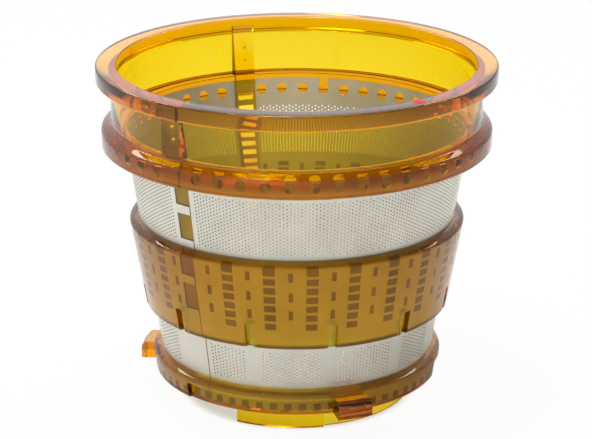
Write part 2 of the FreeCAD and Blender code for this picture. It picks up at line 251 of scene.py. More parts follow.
# %% [markdown]
# The collar.
# The upper third is the clear part that one looks through: a flat rim with an overhanging lip, a plain
# wall, and a thick second ring with a sleeve below it that holds the head of the steel sheet. These could
# be separate rings, but joints inside a clear piece would show as lines, so all of it is one outline. The
# plastic was cast onto the sheet, with no air between them, so the moulding's inner face is set slightly
# inside the steel here, and light goes from plastic to metal without a gap.

# %% Turn the collar
WETTING = 0.05 * MM
WALL_INNER = SHEET_TOP_RADIUS + 2 * MM
WALL_OUTER = WALL_INNER + 1.9 * MM
RIM_UNDERSIDE = HEIGHT - 4.8 * MM
SEAT = SHEET_TOP + 1.7 * MM
FLANGE_TOP = HEIGHT - 18.1 * MM
FLANGE_SHOULDER = FLANGE_TOP - 1.6 * MM
FLANGE_BOTTOM = FLANGE_SHOULDER - 5.7 * MM
FLANGE_OUTER = WALL_OUTER + 3.1 * MM
SLEEVE_BOTTOM = FLANGE_BOTTOM - 2.2 * MM
SLEEVE_THICKNESS = 1.7 * MM
RIM_ROUND = 0.6 * MM
FLANGE_ROUND = 1.0 * MM
SLEEVE_ROUND = 0.5 * MM

moulding = turned_ring("amber_moulding", [
    (WALL_INNER, HEIGHT, RIM_ROUND),
    (RIM_RADIUS, HEIGHT, RIM_ROUND),
    (RIM_RADIUS, RIM_UNDERSIDE, RIM_ROUND),
    (WALL_OUTER, RIM_UNDERSIDE, RIM_ROUND),
    (WALL_OUTER, FLANGE_TOP, FLANGE_ROUND),
    (FLANGE_OUTER, FLANGE_SHOULDER, FLANGE_ROUND),
    (FLANGE_OUTER, FLANGE_BOTTOM, RIM_ROUND),
    (sheet_outside(FLANGE_BOTTOM) + SLEEVE_THICKNESS, FLANGE_BOTTOM, SLEEVE_ROUND),
    (sheet_outside(SLEEVE_BOTTOM) + SLEEVE_THICKNESS, SLEEVE_BOTTOM, SLEEVE_ROUND),
    (sheet_inside(SLEEVE_BOTTOM) + WETTING, SLEEVE_BOTTOM, 0),
    (sheet_inside(SHEET_TOP) + WETTING, SHEET_TOP, 0),
    (sheet_inside(SHEET_TOP) + WETTING, SEAT, 0),
    (WALL_INNER, SEAT, 0),
])
print("collar turned with", len(moulding.data.polygons), "faces")

# %% [markdown]
# The middle band.
# Halfway down, a thick band grips the sheet from outside. Small notches along its lower edge are probably
# where pins in the mould held the sheet still. They could be modelled as gaps in the outline of each
# sector, but one row of cutters taken out of a full ring keeps the band's surface perfectly round.

# %% Turn the band and cut its notches
BAND_TOP = 59.2 * MM
BAND_SHOULDER = BAND_TOP - 1.6 * MM
BAND_BOTTOM = 30.2 * MM
BAND_ROUND = 0.7 * MM
BAND_SHOULDER_RADIUS = sheet_outside(BAND_SHOULDER) + 3.26 * MM
BAND_BOTTOM_RADIUS = sheet_outside(BAND_BOTTOM) + 2.55 * MM
FIRST_NOTCH = 23.9
NOTCH_COUNT = 12
NOTCH_ANGLE = math.radians(3.2)
NOTCH_TOP = BAND_BOTTOM + 7.8 * MM
NOTCH_WEB = 0.8 * MM
CUT = 2 * MM

band = turned_ring("band", [
    (sheet_inside(BAND_TOP) + WETTING, BAND_TOP, 0),
    (sheet_outside(BAND_TOP), BAND_TOP, 0),
    (BAND_SHOULDER_RADIUS, BAND_SHOULDER, BAND_ROUND),
    (BAND_BOTTOM_RADIUS, BAND_BOTTOM, BAND_ROUND),
    (sheet_inside(BAND_BOTTOM) + WETTING, BAND_BOTTOM, 0),
])
notch_section = [
    (sheet_outside(BAND_BOTTOM - CUT) + NOTCH_WEB, BAND_BOTTOM - CUT, 0),
    (BAND_SHOULDER_RADIUS + CUT, BAND_BOTTOM - CUT, 0),
    (BAND_SHOULDER_RADIUS + CUT, NOTCH_TOP, 0),
    (sheet_outside(NOTCH_TOP) + NOTCH_WEB, NOTCH_TOP, 0),
]
notches = turned_arcs("band_notches", notch_section, all_round(FIRST_NOTCH, NOTCH_COUNT), NOTCH_ANGLE)
combine(band, "DIFFERENCE", notches)

# %% [markdown]
# The base.
# The foot of the sheet is cast into a base ring with a bead around it, an inner liner and a floor. Three
# long reliefs and three lugs turn into the bowl like a bayonet. A short neck stands under the floor, with
# a thicker pad in front and a gap for the outlet. It could be put together from sectors, but their seams
# would show. So one full ring is turned, and reliefs, lugs, pad and gap are cut out or joined to it in
# turn.

# %% Turn the base ring
BASE_BOTTOM = 7.5 * MM
BASE_TOP = BASE_BOTTOM + 8.2 * MM
BASE_FOOT_RADIUS = SHEET_BOTTOM_RADIUS + 2.9 * MM
BEAD_TOP = BASE_TOP - 1.3 * MM
BEAD_BOTTOM = BEAD_TOP - 1.7 * MM
BEAD_RADIUS = SHEET_BOTTOM_RADIUS + 3.7 * MM
FLOOR_TOP = BASE_BOTTOM + 2.2 * MM
LINER_RADIUS = SHEET_BOTTOM_RADIUS - SHEET_THICKNESS - 1.2 * MM
LINER_SHOULDER = FLOOR_TOP + 2.9 * MM
LINER_TOP = LINER_SHOULDER + 1.4 * MM
NECK_RADIUS = 36 * MM
NECK_INNER = NECK_RADIUS - 1.5 * MM
EDGE_ROUND = 0.4 * MM

base = turned_ring("base", [
    (sheet_inside(BASE_TOP) + WETTING, BASE_TOP, 0),
    (sheet_outside(BASE_TOP), BASE_TOP, 0),
    (BEAD_RADIUS, BEAD_TOP, RIM_ROUND),
    (BEAD_RADIUS, BEAD_BOTTOM, EDGE_ROUND),
    (BASE_FOOT_RADIUS, BASE_BOTTOM, RIM_ROUND),
    (NECK_RADIUS, BASE_BOTTOM, 0),
    (NECK_RADIUS, 0, EDGE_ROUND),
    (NECK_INNER, 0, EDGE_ROUND),
    (NECK_INNER, FLOOR_TOP, EDGE_ROUND),
    (LINER_RADIUS, FLOOR_TOP, EDGE_ROUND),
    (LINER_RADIUS, LINER_SHOULDER, 0),
    (sheet_inside(LINER_TOP) + WETTING, LINER_TOP, 0),
])
print("base ring turned with", len(base.data.polygons), "faces")

# %% Cut the reliefs, join the lugs and the pad, and cut the outlet gap
RELIEF_MIDDLES = all_round(31, THIRDS)
RELIEF_RADIUS = SHEET_BOTTOM_RADIUS + 1.7 * MM
RELIEF_ANGLE = math.radians(76)
LUG_MIDDLES = all_round(62, THIRDS)
LUG_ROOT = SHEET_BOTTOM_RADIUS + 0.8 * MM
LUG_RADIUS = BASE_FOOT_RADIUS + 5.2 * MM
LUG_TOP = BASE_BOTTOM + 5.5 * MM
LUG_ROUND = 2 * MM
LUG_ANGLE = math.radians(12.6)
PAD_MIDDLE = from_rib(32.5)
PAD_ROOT = NECK_INNER + 0.5 * MM
PAD_RADIUS = NECK_RADIUS + 1 * MM
PAD_ANGLE = math.radians(43)
OUTLET_GAP_MIDDLE = from_rib(338.5)
OUTLET_GAP_ANGLE = math.radians(65)
FLOOR_CORE = (BASE_BOTTOM + FLOOR_TOP) / 2

relief_section = block(RELIEF_RADIUS, BEAD_RADIUS + CUT, BASE_BOTTOM - CUT, BEAD_BOTTOM)
combine(base, "DIFFERENCE", turned_arcs("reliefs", relief_section, RELIEF_MIDDLES, RELIEF_ANGLE))
lug_section = [
    (LUG_ROOT, BASE_BOTTOM, 0),
    (LUG_RADIUS, BASE_BOTTOM, EDGE_ROUND),
    (LUG_RADIUS, LUG_TOP, LUG_ROUND),
    (LUG_ROOT, LUG_TOP, 0),
]
pad_section = [
    (PAD_ROOT, 0, 0),
    (PAD_RADIUS, 0, EDGE_ROUND),
    (PAD_RADIUS, FLOOR_CORE, 0),
    (PAD_ROOT, FLOOR_CORE, 0),
]
lugs = turned_arcs("lugs", lug_section, LUG_MIDDLES, LUG_ANGLE)
neck_pad = turned_arcs("neck_pad", pad_section, [PAD_MIDDLE], PAD_ANGLE)
combine(base, "UNION", lugs, neck_pad)
gap_section = block(NECK_INNER - CUT, PAD_RADIUS + CUT, -CUT, BASE_BOTTOM)
combine(base, "DIFFERENCE", turned_arcs("outlet_gap", gap_section, [OUTLET_GAP_MIDDLE], OUTLET_GAP_ANGLE))

# %% [markdown]
# The ribs.
# Three flat ribs inside the screen run from the floor to the rim and tie the rings together. Each one
# swallows the sheet, fills the windows etched there, and ends level with its outer face. A straight bar
# would stand off the round wall at its edges, so a rib is the same kind of turned arc as a lug, only
# tall. Near its head are two small round dimples, such as pins leave that push a part out of its mould,
# and short rods cut them.

# %% Turn the ribs
RIB_ANGLE = math.radians(7.2)
RIB_DEPTH = 1.2 * MM
RIB_BEND_RADIUS = sheet_inside(SHEET_TOP) - RIB_DEPTH
RIB_HEAD = HEIGHT - 2 * MM
RIB_HEAD_RADIUS = WALL_INNER - 0.9 * MM
RIB_EASE = 0.25 * MM
WALL_CORE = (WALL_INNER + WALL_OUTER) / 2

rib_section = [
    (sheet_inside(FLOOR_CORE) - RIB_DEPTH, FLOOR_CORE, 0),
    (RIB_BEND_RADIUS, SHEET_TOP, 0),
    (RIB_HEAD_RADIUS, RIB_HEAD, RIB_EASE),
    (WALL_CORE, RIB_HEAD, 0),
    (WALL_CORE, SHEET_TOP, 0),
    (sheet_outside(SHEET_TOP) - WETTING, SHEET_TOP, 0),
    (sheet_outside(FLOOR_CORE) - WETTING, FLOOR_CORE, 0),
]
ribs = turned_arcs("ribs", rib_section, RIBS, RIB_ANGLE)
print("ribs turned with", len(ribs.data.polygons), "faces")

# %% Cut the pin marks and join the moulding
PIN_HEIGHTS = [98.1 * MM, 94 * MM]
PIN_RADIUS = 0.6 * MM
PIN_DEPTH = 0.7 * MM
PIN_SIDES = 16


def add_pins(shape, angles, radius, height, pin_radius, length, sides):
    """Adds short round rods that point at the axis, centred at a radius and a height."""
    lying = Matrix.Rotation(math.pi / 2, 4, "Y")
    for angle in angles:
        place = Matrix.Rotation(angle, 4, "Z") @ Matrix.Translation((radius, 0, height))
        bmesh.ops.create_cone(shape, cap_ends=True, segments=sides, radius1=pin_radius,
                              radius2=pin_radius, depth=length, matrix=place @ lying)


def rib_face(height):
    """Radius of a rib's inner face above the sheet."""
    share = (height - SHEET_TOP) / (RIB_HEAD - SHEET_TOP)
    return RIB_BEND_RADIUS + share * (RIB_HEAD_RADIUS - RIB_BEND_RADIUS)


pin_marks = bmesh.new()
for height in PIN_HEIGHTS:
    add_pins(pin_marks, RIBS, rib_face(height), height, PIN_RADIUS, 2 * PIN_DEPTH, PIN_SIDES)
combine(ribs, "DIFFERENCE", finished(pin_marks, "pin_marks"))
combine(moulding, "UNION", band, base, ribs)

# %% [markdown]
# Smooth where it is turned, crisp where it is cut.
# Clear plastic shows every facet, so all faces are shaded smooth, and only edges that bend by more than
# a limit stay sharp. A smooth-by-angle modifier would do the same, but marking the edges in the mesh
# keeps the finish with the piece when it is exported.

# %% Shade the moulding
SHARP_BEND = math.radians(28)


def shade(piece):
    """Smooth faces, with an edge kept sharp where its two faces bend strongly."""
    shape = bmesh.new()
    shape.from_mesh(piece.data)
    for face in shape.faces:
        face.smooth = True
    for edge in shape.edges:
        edge.smooth = edge.is_manifold and edge.calc_face_angle() < SHARP_BEND
    shape.to_mesh(piece.data)
    open_edges = sum(not edge.is_manifold for edge in shape.edges)
    shape.free()
    print(piece.name, "shaded, open edges:", open_edges)


shade(moulding)

# %% [markdown]
# The steel sheet.
# The screen is one thin sheet, etched flat, rolled to a cone and closed along a seam rib. A bare surface
# with transparent spots would do from afar, but the plastic has to fill its openings. So it is a turned
# ring as thin as the foil, and booleans take out what the etching removed: the round anchor holes at its
# head, the windows along the ribs, and the ladders and dashes behind the band that lock the plastic to
# the steel. Ladders, dashes and the slots at the foot are etched from outside only, halfway through, so a
# thin plate stays at the bottom of each, and its darker tone is painted shade. The fields of fine
# perforation are cut out whole, and finer pieces fill them in a later step.

# %% Turn the sheet
PLATE_THICKNESS = SHEET_THICKNESS / 2


def etch(shape, middle, sweep, low, high):
    """Adds a cutter that goes through the sheet between two heights."""
    section = block(sheet_inside(low) - CUT, sheet_outside(high) + CUT, low, high)
    add_arc(shape, section, middle, sweep)


def keep_plate(shape, middle, sweep, low, high):
    """Adds the inner half of the sheet between two heights."""
    section = [
        (sheet_inside(low), low, 0),
        (sheet_inside(low) + PLATE_THICKNESS, low, 0),
        (sheet_inside(high) + PLATE_THICKNESS, high, 0),
        (sheet_inside(high), high, 0),
    ]
    add_arc(shape, section, middle, sweep)


sheet = turned_ring("screen_sheet", [
    (sheet_inside(SHEET_BOTTOM), SHEET_BOTTOM, 0),
    (SHEET_BOTTOM_RADIUS, SHEET_BOTTOM, 0),
    (SHEET_TOP_RADIUS, SHEET_TOP, 0),
    (sheet_inside(SHEET_TOP), SHEET_TOP, 0),
])
print("sheet turned with", len(sheet.data.polygons), "faces")

# %% Etch the anchor holes, ladders, dashes and slots
PATTERN_START = 1.4
ANCHOR_MIDDLES = between_ribs(all_round(PATTERN_START, 48))
ANCHOR_HEIGHT = SHEET_TOP - 3.4 * MM
ANCHOR_RADIUS = 1.7 * MM
ANCHOR_LENGTH = 4 * CUT
ANCHOR_SIDES = 24
PATTERN_COLUMNS = 24
LADDER_MIDDLES = between_ribs(all_round(PATTERN_START, PATTERN_COLUMNS))
LADDER_ROWS = 7
LADDER_TOP = 55.5 * MM
LADDER_PITCH = 3 * MM
LADDER_ANGLE = math.radians(4.2)
LADDER_CELL = 2.1 * MM
DASH_MIDDLES = all_round(PATTERN_START + FULL_TURN / PATTERN_COLUMNS / 2, PATTERN_COLUMNS)
DASH_HEIGHTS = [54.1 * MM, 47.5 * MM, 41.5 * MM]
DASH_ANGLE = math.radians(1.6)
DASH_CELL = 3 * MM
SLOT_MIDDLES = all_round(PATTERN_START, 60)
SLOT_ANGLE = math.radians(3)
SLOT_TOP = 10.6 * MM

openings = bmesh.new()
half_etched = bmesh.new()
add_pins(openings, ANCHOR_MIDDLES, SHEET_TOP_RADIUS, ANCHOR_HEIGHT, ANCHOR_RADIUS, ANCHOR_LENGTH,
         ANCHOR_SIDES)
ladder_heights = [LADDER_TOP - LADDER_PITCH * row for row in range(LADDER_ROWS)]
cells = [(middle, LADDER_ANGLE, height - LADDER_CELL / 2, height + LADDER_CELL / 2)
         for middle in LADDER_MIDDLES for height in ladder_heights]
cells += [(middle, DASH_ANGLE, height - DASH_CELL / 2, height + DASH_CELL / 2)
          for middle in DASH_MIDDLES for height in DASH_HEIGHTS]
for middle, sweep, low, high in cells:
    etch(openings, middle, sweep, low, high)
    keep_plate(half_etched, middle, sweep, low, high)
for middle in SLOT_MIDDLES:
    etch(openings, middle, SLOT_ANGLE, SHEET_BOTTOM - CUT, SLOT_TOP)
    keep_plate(half_etched, middle, SLOT_ANGLE, SHEET_BOTTOM, SLOT_TOP)
combine(sheet, "DIFFERENCE", finished(openings, "openings"))
plates = finished(half_etched, "half_etched_cells")
print("half etched cells:", len(cells) + len(SLOT_MIDDLES))

# %% [markdown]
# Windows, seam and edge notch.
# A column of windows lets the plastic of each rib flow through the sheet, so the two can't come apart.
# The seam rib has fewer and taller ones, beside the narrow gap where the sheet's ends meet. A short notch
# in the upper edge may be what places the sheet in its mould. Each could be left out of the turned ring
# from the start, but the same cutters as before do it with one line for each column.

# %% Etch the windows along the ribs, the seam and the edge notch
RIB_WINDOWS = 16
RIB_WINDOW_HEIGHT = 2.2 * MM
RIB_WINDOW_ANGLE = math.radians(5.6)
RIB_WINDOW_TOP = SHEET_TOP - 5.4 * MM
RIB_WINDOW_PITCH = 4 * MM
SEAM_WINDOWS = 4
SEAM_WINDOW_TOP = SHEET_TOP - 5.6 * MM
SEAM_WINDOW_PITCH = 11.2 * MM
SEAM_WINDOW_HEIGHT = 8.4 * MM
SEAM_WINDOW_ANGLE = math.radians(6.2)
SEAM_MIDDLE = from_rib(3)
SEAM_GAP_ANGLE = math.radians(0.4)
EDGE_NOTCH_MIDDLE = from_rib(211.4)
EDGE_NOTCH_ANGLE = math.radians(3.2)

windows = bmesh.new()
for rib in RIBS[1:]:
    for row in range(RIB_WINDOWS):
        middle_height = RIB_WINDOW_TOP - row * RIB_WINDOW_PITCH
        etch(windows, rib, RIB_WINDOW_ANGLE, middle_height - RIB_WINDOW_HEIGHT / 2,
             middle_height + RIB_WINDOW_HEIGHT / 2)
for row in range(SEAM_WINDOWS):
    head = SEAM_WINDOW_TOP - row * SEAM_WINDOW_PITCH
    etch(windows, FIRST_RIB, SEAM_WINDOW_ANGLE, head - SEAM_WINDOW_HEIGHT, head)
etch(windows, EDGE_NOTCH_MIDDLE, EDGE_NOTCH_ANGLE, ANCHOR_HEIGHT, SHEET_TOP + CUT)
combine(sheet, "DIFFERENCE", finished(windows, "windows"))
seam_cut = bmesh.new()
etch(seam_cut, SEAM_MIDDLE, SEAM_GAP_ANGLE, SHEET_BOTTOM - CUT, SHEET_TOP + CUT)
combine(sheet, "DIFFERENCE", finished(seam_cut, "seam"))

# %% [markdown]
# The seam's flap.
# Where the rolled sheet closes, one end passes behind the other inside the seam rib. Plastic fills the
# gap and the windows, and the end behind them shows through as a golden strip. A golden colour on the rib
# would stay the same from every side, so the strip is one thin turned arc with the sheet's own slope, set
# into the clear plastic.

# %% Turn the flap behind the seam windows
FLAP_GAP = 0.45 * MM
FLAP_THICKNESS = 0.3 * MM
FLAP_LOW = SHEET_BOTTOM + 3 * MM
FLAP_HIGH = SHEET_TOP - 3 * MM

flap_section = [
    (sheet_inside(FLAP_LOW) - FLAP_GAP - FLAP_THICKNESS, FLAP_LOW, 0),
    (sheet_inside(FLAP_LOW) - FLAP_GAP, FLAP_LOW, 0),
    (sheet_inside(FLAP_HIGH) - FLAP_GAP, FLAP_HIGH, 0),
    (sheet_inside(FLAP_HIGH) - FLAP_GAP - FLAP_THICKNESS, FLAP_HIGH, 0),
]
flap = turned_arcs("seam_flap", flap_section, [FIRST_RIB], SEAM_WINDOW_ANGLE)
shade(flap)

# %% [markdown]
# The fine mesh.
# Juice leaves through thousands of tiny round holes. As a bump or a transparency map they would lie flat
# and close up from the side, so they are cut for real. One cell is a small square ring around an
# eight-sided hole, made by bridging a square's edge to a circle. Cells are stacked to two columns, the
# second half a cell higher, and bent to the cone, and a spin that duplicates lays pairs of columns around
# the axis. A solidify then gives the foil its thickness. A cell has only two dozen faces then, so the
# whole field stays light. The walls of the holes are taken off as a piece of their own and get a darker
# finish, which is painted shade inside each hole, so each hole reads as a dark dot.

# %% Helpers that make one cell
HOLE_RADIUS = 0.28 * MM
HOLE_SIDES = 8


def flat_grid(columns, rows, width, height):
    """A grid in the XY plane, centred at the origin."""
    grid = bmesh.new()
    bmesh.ops.create_grid(grid, x_segments=columns, y_segments=rows, size=0.5)
    bmesh.ops.scale(grid, verts=grid.verts[:], vec=(width, height, 1))
    return grid


def upright(cell):
    """Turns a flat cell up into the XZ plane."""
    bmesh.ops.rotate(cell, verts=cell.verts[:], cent=CENTRE, matrix=Matrix.Rotation(math.pi / 2, 3, "X"))
    return cell


def hole_cell(width, height):
    """An upright cell with a round hole in its middle."""
    cell = flat_grid(columns=2, rows=2, width=width, height=height)
    middle = min(cell.verts, key=lambda corner: corner.co.length)
    bmesh.ops.delete(cell, geom=[middle], context="VERTS")
    bmesh.ops.create_circle(cell, segments=HOLE_SIDES, radius=HOLE_RADIUS)
    bmesh.ops.bridge_loops(cell, edges=cell.edges[:])
    return upright(cell)


def plain_cell(width, height):
    """An upright cell without a hole."""
    return upright(flat_grid(columns=2, rows=1, width=width, height=height))


print("holes are %.2f mm across" % (2 * HOLE_RADIUS / MM))

# %% Helpers that lay cells side by side and give them thickness
WALL_LEAN = 0.6


def add_copies(shape, cell, along, heights):
    """Adds a copy of an upright cell at each height, at a distance along the sheet."""
    for height in heights:
        add_shape(shape, cell, Matrix.Translation((along, 0, height)))


def perforate(shape, start, sweep, pairs, low, high, rows):
    """Adds a field of staggered holes between two angles and two heights, on the sheet's outer face."""
    height = (high - low) / rows
    radius = sheet_outside((low + high) / 2)
    width = radius * sweep / pairs / 2
    levels = [low + height * (row + 0.5) for row in range(rows)]
    pair = bmesh.new()
    hole = hole_cell(width, height)
    plain = plain_cell(width, height / 2)
    add_copies(pair, hole, width / 2, levels)
    add_copies(pair, hole, width * 1.5, [level + height / 2 for level in levels[:-1]])
    add_copies(pair, plain, width * 1.5, [low + height / 4, high - height / 4])
    hole.free()
    plain.free()
    for corner in pair.verts:
        turn = start + corner.co.x / radius
        out = sheet_outside(corner.co.z)
        corner.co.x = out * math.cos(turn)
        corner.co.y = out * math.sin(turn)
    bmesh.ops.spin(pair, geom=everything(pair), cent=CENTRE, axis=AXIS,
                   angle=sweep * (pairs - 1) / pairs, steps=pairs - 1, use_duplicate=True)
    add_shape(shape, pair)
    pair.free()


def is_wall(face):
    """True for a face that stands across the sheet and hardly looks in or out."""
    out = face.calc_center_median()
    out.z = 0
    return abs(face.normal.dot(out.normalized())) < WALL_LEAN


def foil(shape, name):
    """Welds a perforated surface, gives it thickness, and parts its skin from the walls of its holes."""
    bmesh.ops.remove_doubles(shape, verts=shape.verts[:], dist=CLOSE)
    for face in shape.faces:
        face.normal_update()
        if face.normal.dot(face.calc_center_median()) < 0:
            face.normal_flip()
    bmesh.ops.solidify(shape, geom=shape.faces[:], thickness=SHEET_THICKNESS)
    shape.normal_update()
    walls = shape.copy()
    bmesh.ops.delete(shape, geom=[face for face in shape.faces if is_wall(face)], context="FACES")
    bmesh.ops.delete(walls, geom=[face for face in walls.faces if not is_wall(face)], context="FACES")
    print(name, "has", len(shape.faces), "faces, and its holes' walls have", len(walls.faces))
    return finished(shape, name), finished(walls, name + "_walls")


# %% [markdown]
# The fields of holes.
# Under the second ring, a tall field of holes fills each third between the ribs. Under the band, lower
# panels stand side by side, with a plain strip below the band's notches. One field all round would run
# over the ribs, so each upper third is a piece of its own. The sheet loses the same sectors, so that the
# foil takes their place.

# %% Perforate the upper fields
UPPER_LOW = 60.6 * MM
UPPER_HIGH = 78.2 * MM
UPPER_ROWS = 16
UPPER_PAIRS = 46
UPPER_SWEEP = math.radians(110)

upper_cut = bmesh.new()
mesh_fields = []
hole_walls = []
for number, rib in enumerate(RIBS):
    start = rib + (math.tau / THIRDS - UPPER_SWEEP) / 2
    etch(upper_cut, start + UPPER_SWEEP / 2, UPPER_SWEEP, UPPER_LOW, UPPER_HIGH)
    field = bmesh.new()
    perforate(field, start, UPPER_SWEEP, UPPER_PAIRS, UPPER_LOW, UPPER_HIGH, UPPER_ROWS)
    skin, walls = foil(field, "upper_mesh_%d" % (number + 1))
    mesh_fields.append(skin)
    hole_walls.append(walls)
combine(sheet, "DIFFERENCE", finished(upper_cut, "upper_cut"))

# %% Perforate the lower panels
LOWER_LOW = 17.2 * MM
LOWER_HIGH = 28.4 * MM
LOWER_ROWS = 10
LOWER_START = 5
LOWER_END = 106
STRIPS = 3
STRIP_DEGREES = 6.5
PAIR_DEGREES = 3

strips = [FIRST_NOTCH + FULL_TURN / NOTCH_COUNT * step for step in range(STRIPS)]
panel_starts = [LOWER_START] + [strip + STRIP_DEGREES / 2 for strip in strips]
panel_ends = [strip - STRIP_DEGREES / 2 for strip in strips] + [LOWER_END]
lower_cut = bmesh.new()
lower = bmesh.new()
for rib in RIBS:
    for start, end in zip(panel_starts, panel_ends):
        sweep = math.radians(end - start)
        first = rib + math.radians(start)
        etch(lower_cut, first + sweep / 2, sweep, LOWER_LOW, LOWER_HIGH)
        pairs = round((end - start) / PAIR_DEGREES)
        perforate(lower, first, sweep, pairs, LOWER_LOW, LOWER_HIGH, LOWER_ROWS)
skin, walls = foil(lower, "lower_mesh")
mesh_fields.append(skin)
hole_walls.append(walls)
combine(sheet, "DIFFERENCE", finished(lower_cut, "lower_cut"))
shade(sheet)

# %% [markdown]
# The red mark.
# A dot of red paint on the rim shows how to turn the strainer into its bowl. A flat disc would look cut
# from paper. A drop of paint dries with a soft edge and a faint dome, so it is a turned drop, a little
# proud of the rim and let into it below.

# %% Turn the red drop
mark_low, mark_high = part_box("alignment_mark")
MARK_RADIUS = (mark_high.x - mark_low.x) / 2
MARK_PROUD = 0.12 * MM
MARK_STEPS = 48
# Shares of the drop's radius and of its rise, from the top of the dome down
DROP_SECTION = [(0, 1.0), (0.5, 0.9), (0.8, 0.62), (0.95, 0.25), (1, 0), (0.96, -1), (0, -1)]

mark_place = (mark_low + mark_high) / 2
drop = bmesh.new()
path = [drop.verts.new((MARK_RADIUS * out, 0, MARK_PROUD * up)) for out, up in DROP_SECTION]
for one, other in zip(path, path[1:]):
    drop.edges.new((one, other))
bmesh.ops.spin(drop, geom=everything(drop), cent=CENTRE, axis=AXIS, angle=math.tau,
               steps=MARK_STEPS, use_merge=True)
bmesh.ops.translate(drop, verts=drop.verts[:], vec=(mark_place.x, mark_place.y, HEIGHT))
red_mark = finished(drop, "red_mark")
shade(red_mark)

# %% [markdown]
# Clear amber.
# The plastic is clear, so its colour comes from depth: thin walls look yellow, thick edges brown. A
# surface colour can't do that, so the surface only refracts, with a slight tint, and a volume takes away
# blue quickly and green slowly for each millimetre that light travels. A broad, faint ripple in the
# surface and a roughness that wanders a little are what an injection mould leaves.

# %% Helpers that build a finish
NOISE_LOW = 0.3
NOISE_HIGH = 0.7


def new_finish(name):
    """A new material, with its nodes and its shader."""
    finish = bpy.data.materials.new(name)
    finish.use_nodes = True
    tree = finish.node_tree
    print("finish", name)
    return finish, tree, tree.nodes["Principled BSDF"]


def add_node(tree, kind, **values):
    """Adds a node and sets its inputs by name."""
    node = tree.nodes.new(kind)
    for name, value in values.items():
        node.inputs[name.replace("_", " ")].default_value = value
    return node


def remap(tree, value, start, full, low, high):
    """Maps a number that runs from start to full onto low to high."""
    ramp = add_node(tree, "ShaderNodeMapRange", From_Min=start, From_Max=full, To_Min=low, To_Max=high)
    tree.links.new(value, ramp.inputs["Value"])
    return ramp.outputs["Result"]


def object_noise(tree, scale, detail):
    """A noise that sits still on the piece."""
    place = tree.nodes.new("ShaderNodeTexCoord")
    noise = add_node(tree, "ShaderNodeTexNoise", Scale=scale, Detail=detail)
    tree.links.new(place.outputs["Object"], noise.inputs["Vector"])
    return noise.outputs["Fac"]


def wander(tree, socket, low, high, scale, detail):
    """Lets a shader's value wander between two limits."""
    noise = object_noise(tree, scale, detail)
    tree.links.new(remap(tree, noise, NOISE_LOW, NOISE_HIGH, low, high), socket)


# %% Make the amber finish
PLASTIC_IOR = 1.5
ABSORB_PER_METRE = 2000
ABSORB_TINT = (0.986, 0.944, 0.03, 1)
SURFACE_TINT = (0.98, 0.85, 0.72, 1)
GLOSS_TINT = (1.0, 0.84, 0.6, 1)
PLASTIC_ROUGHEST = 0.06
RIPPLE_STRENGTH = 0.03
RIPPLE_DEPTH = 1 * MM

amber, tree, shader = new_finish("clear_amber")
shader.inputs["Base Color"].default_value = SURFACE_TINT
shader.inputs["Transmission Weight"].default_value = 1
shader.inputs["IOR"].default_value = PLASTIC_IOR
shader.inputs["Specular Tint"].default_value = GLOSS_TINT
wander(tree, shader.inputs["Roughness"], 0, PLASTIC_ROUGHEST, scale=60, detail=3)
ripple = add_node(tree, "ShaderNodeBump", Strength=RIPPLE_STRENGTH, Distance=RIPPLE_DEPTH)
tree.links.new(object_noise(tree, scale=45, detail=1), ripple.inputs["Height"])
tree.links.new(ripple.outputs["Normal"], shader.inputs["Normal"])
depth = add_node(tree, "ShaderNodeVolumeAbsorption", Color=ABSORB_TINT, Density=ABSORB_PER_METRE)
tree.links.new(depth.outputs["Volume"], tree.nodes["Material Output"].inputs["Volume"])
for light, tint in zip(("red", "green", "blue"), ABSORB_TINT):
    left = math.exp((tint - 1) * ABSORB_PER_METRE * (WALL_OUTER - WALL_INNER))
    print("the depth of the clear wall leaves %.0f %% of %s light" % (100 * left, light))

# %% [markdown]
# Etched steel.
# The foil is rolled stainless steel, dull from etching. A mirror metal would pick up every line of the
# studio, so the metal is rough, its roughness wanders slowly, and its colour drifts slightly towards warm
# grey, as thin steel does where it was handled. Two darker tones are painted shade: one on the walls of
# the holes and the floors of the half-etched cells, the other on the flap that lies deep in the seam.

# %% Make the steel finishes
ROLLED_TONES = (0.70, 0.69, 0.61, 1), (0.64, 0.625, 0.545, 1)
ROLLED_ROUGHNESS = 0.36, 0.44
# Painted shade: darker steel tones for the flap deep in the seam, and for the holes' walls and the etched
# cells' floors
SEAM_SHADE_TONES = (0.48, 0.40, 0.38, 1), (0.43, 0.35, 0.33, 1)
HOLE_SHADE_TONES = (0.40, 0.33, 0.25, 1), (0.33, 0.27, 0.20, 1)
ACID_ROUGHNESS = 0.4, 0.55
MIX_FACTOR, MIX_ONE, MIX_OTHER, MIX_RESULT = 0, 6, 7, 2


def drifting_colour(tree, shader, tones, scale):
    """A base colour that wanders between two close tones."""
    drift = add_node(tree, "ShaderNodeMix")
    drift.data_type = "RGBA"
    drift.inputs[MIX_ONE].default_value = tones[0]
    drift.inputs[MIX_OTHER].default_value = tones[1]
    wander(tree, drift.inputs[MIX_FACTOR], 0, 1, scale=scale, detail=4)
    tree.links.new(drift.outputs[MIX_RESULT], shader.inputs["Base Color"])


def steel_finish(name, tones, roughness):
    """Rolled steel between two tones, with a roughness that wanders slowly."""
    finish, tree, shader = new_finish(name)
    shader.inputs["Metallic"].default_value = 1
    drifting_colour(tree, shader, tones, scale=90)
    wander(tree, shader.inputs["Roughness"], *roughness, scale=140, detail=2)
    return finish


steel = steel_finish("etched_steel", ROLLED_TONES, ROLLED_ROUGHNESS)
# The same steel, darkened with painted shade for the seam flap and for the holes' walls and cell floors
seam_shade_steel = steel_finish("seam_shade_steel", SEAM_SHADE_TONES, ACID_ROUGHNESS)
shade_painted_steel = steel_finish("half_etched_steel_painted_shade", HOLE_SHADE_TONES, ACID_ROUGHNESS)

# %% [markdown]
# Red paint.
# The dot is thick, dull paint. One flat red would look printed, so its colour drifts between two close
# reds, its roughness wanders, and it reflects less than the plastic around it.

